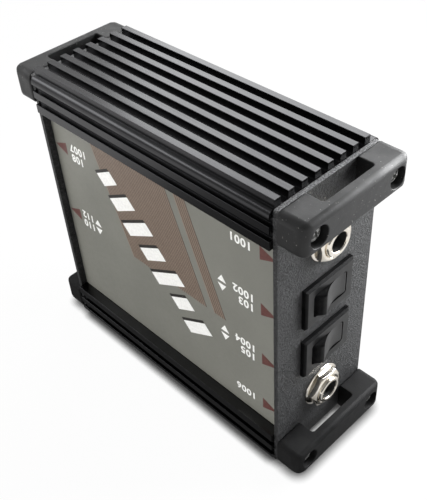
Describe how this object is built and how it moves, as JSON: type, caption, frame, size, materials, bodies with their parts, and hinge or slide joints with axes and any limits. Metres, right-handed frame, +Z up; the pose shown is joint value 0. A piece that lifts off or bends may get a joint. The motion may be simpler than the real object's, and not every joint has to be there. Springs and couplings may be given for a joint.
{
  "type": "direct injection box",
  "caption": "Passive direct injection box: finned side rails, corner bumpers, phone jacks, rocker switches and a male pin output connector round a transformer.",
  "frame": {"origin": "middle of the bounding box in plan, at the tips of the lower fins that the box stands on", "axes": "+Z up, +X along the fins out of the jack and switch panel, printed face toward -Y"},
  "size_m": [0.1256, 0.0446, 0.111],
  "materials": {
    "rail_anodised": "black anodised, satin",
    "cover_sheet": "black anodised sheet, satin",
    "label_print": "printed film, satin",
    "plate_paint": "fine wrinkle powder coat",
    "bumper_plastic": "moulded, fine grain",
    "screw_black": "black oxide",
    "nickel": "bright nickel plate",
    "fibre": "laminated fibre",
    "spring_brass": "plain",
    "zinc": "zinc plate",
    "switch_plastic": "moulded, satin",
    "rocker_plastic": "moulded, satin",
    "plunger_plastic": "moulded",
    "spring_steel": "drawn wire",
    "contact_brass": "stamped",
    "xlr_black": "black coated casting",
    "insert_plastic": "moulded",
    "pin_plate": "plated",
    "board": "solder mask",
    "lamination": "varnished laminations",
    "bobbin": "moulded",
    "winding": "enamelled wire",
    "lead": "tinned wire",
    "film_cap": "moulded box",
    "resistor": "lacquered",
    "wire_cover": "insulated wire"
  },
  "bodies": {
    "case": {"upper_rail": "rail_anodised", "lower_rail": "rail_anodised", "front_cover": "cover_sheet", "rear_cover": "cover_sheet", "label_overlay": "label_print", "input_end_plate": "plate_paint", "output_end_plate": "plate_paint", "upper_input_bumper": "bumper_plastic", "lower_input_bumper": "bumper_plastic", "upper_output_bumper": "bumper_plastic", "lower_output_bumper": "bumper_plastic", "bumper_screws": "screw_black", "xlr_screws": "screw_black", "input_jack_frame": "nickel", "thru_jack_frame": "nickel", "input_jack_washer": "nickel", "thru_jack_washer": "nickel", "input_jack_nut": "nickel", "thru_jack_nut": "nickel", "input_jack_insulators": "fibre", "thru_jack_insulators": "fibre", "input_jack_tip_spring": "spring_brass", "thru_jack_tip_spring": "spring_brass", "jack_rivets": "zinc", "xlr_nuts": "zinc", "transformer_screws": "zinc", "transformer_nuts": "zinc", "transformer_clamp": "zinc", "filter_switch_housing": "switch_plastic", "pad_switch_housing": "switch_plastic", "lift_switch_housing": "switch_plastic", "filter_switch_terminals": "contact_brass", "pad_switch_terminals": "contact_brass", "lift_switch_terminals": "contact_brass", "xlr_shell": "xlr_black", "xlr_insert": "insert_plastic", "xlr_pins": "pin_plate", "circuit_board": "board", "transformer_core": "lamination", "transformer_bobbin": "bobbin", "transformer_winding": "winding", "transformer_pins": "lead", "film_capacitors": "film_cap", "resistors": "resistor", "hookup_wires": "wire_cover"},
    "filter_switch_rocker_body": {"filter_switch_rocker": "rocker_plastic", "filter_switch_plunger": "plunger_plastic", "filter_switch_spring": "spring_steel"},
    "filter_switch_contact_body": {"filter_switch_contact": "contact_brass"},
    "pad_switch_rocker_body": {"pad_switch_rocker": "rocker_plastic", "pad_switch_plunger": "plunger_plastic", "pad_switch_spring": "spring_steel"},
    "pad_switch_contact_body": {"pad_switch_contact": "contact_brass"},
    "lift_switch_rocker_body": {"lift_switch_rocker": "rocker_plastic", "lift_switch_plunger": "plunger_plastic", "lift_switch_spring": "spring_steel"},
    "lift_switch_contact_body": {"lift_switch_contact": "contact_brass"}
  },
  "joints": [
    {"name": "filter_switch_tilt", "type": "hinge", "parent": "case", "child": "filter_switch_rocker_body", "pos_m": [0.049, 0, 0.0662], "axis": [0, 0, -1], "range_deg": [0, 22.6]},
    {"name": "filter_switch_contact_rock", "type": "hinge", "parent": "case", "child": "filter_switch_contact_body", "pos_m": [0.0424, 0, 0.0662], "axis": [0, 0, 1], "range_deg": [0, 18]},
    {"name": "pad_switch_tilt", "type": "hinge", "parent": "case", "child": "pad_switch_rocker_body", "pos_m": [0.049, 0, 0.0448], "axis": [0, 0, -1], "range_deg": [0, 22.6]},
    {"name": "pad_switch_contact_rock", "type": "hinge", "parent": "case", "child": "pad_switch_contact_body", "pos_m": [0.0424, 0, 0.0448], "axis": [0, 0, 1], "range_deg": [0, 18]},
    {"name": "lift_switch_tilt", "type": "hinge", "parent": "case", "child": "lift_switch_rocker_body", "pos_m": [-0.049, 0, 0.0537], "axis": [0, 0, -1], "range_deg": [0, 22.6]},
    {"name": "lift_switch_contact_rock", "type": "hinge", "parent": "case", "child": "lift_switch_contact_body", "pos_m": [-0.0424, 0, 0.0537], "axis": [0, 0, 1], "range_deg": [0, 18]}
  ],
  "couplings": [
    {"joint": "filter_switch_contact_rock", "follows": "filter_switch_tilt", "ratio": 0.796},
    {"joint": "pad_switch_contact_rock", "follows": "pad_switch_tilt", "ratio": 0.796},
    {"joint": "lift_switch_contact_rock", "follows": "lift_switch_tilt", "ratio": 0.796}
  ]
}
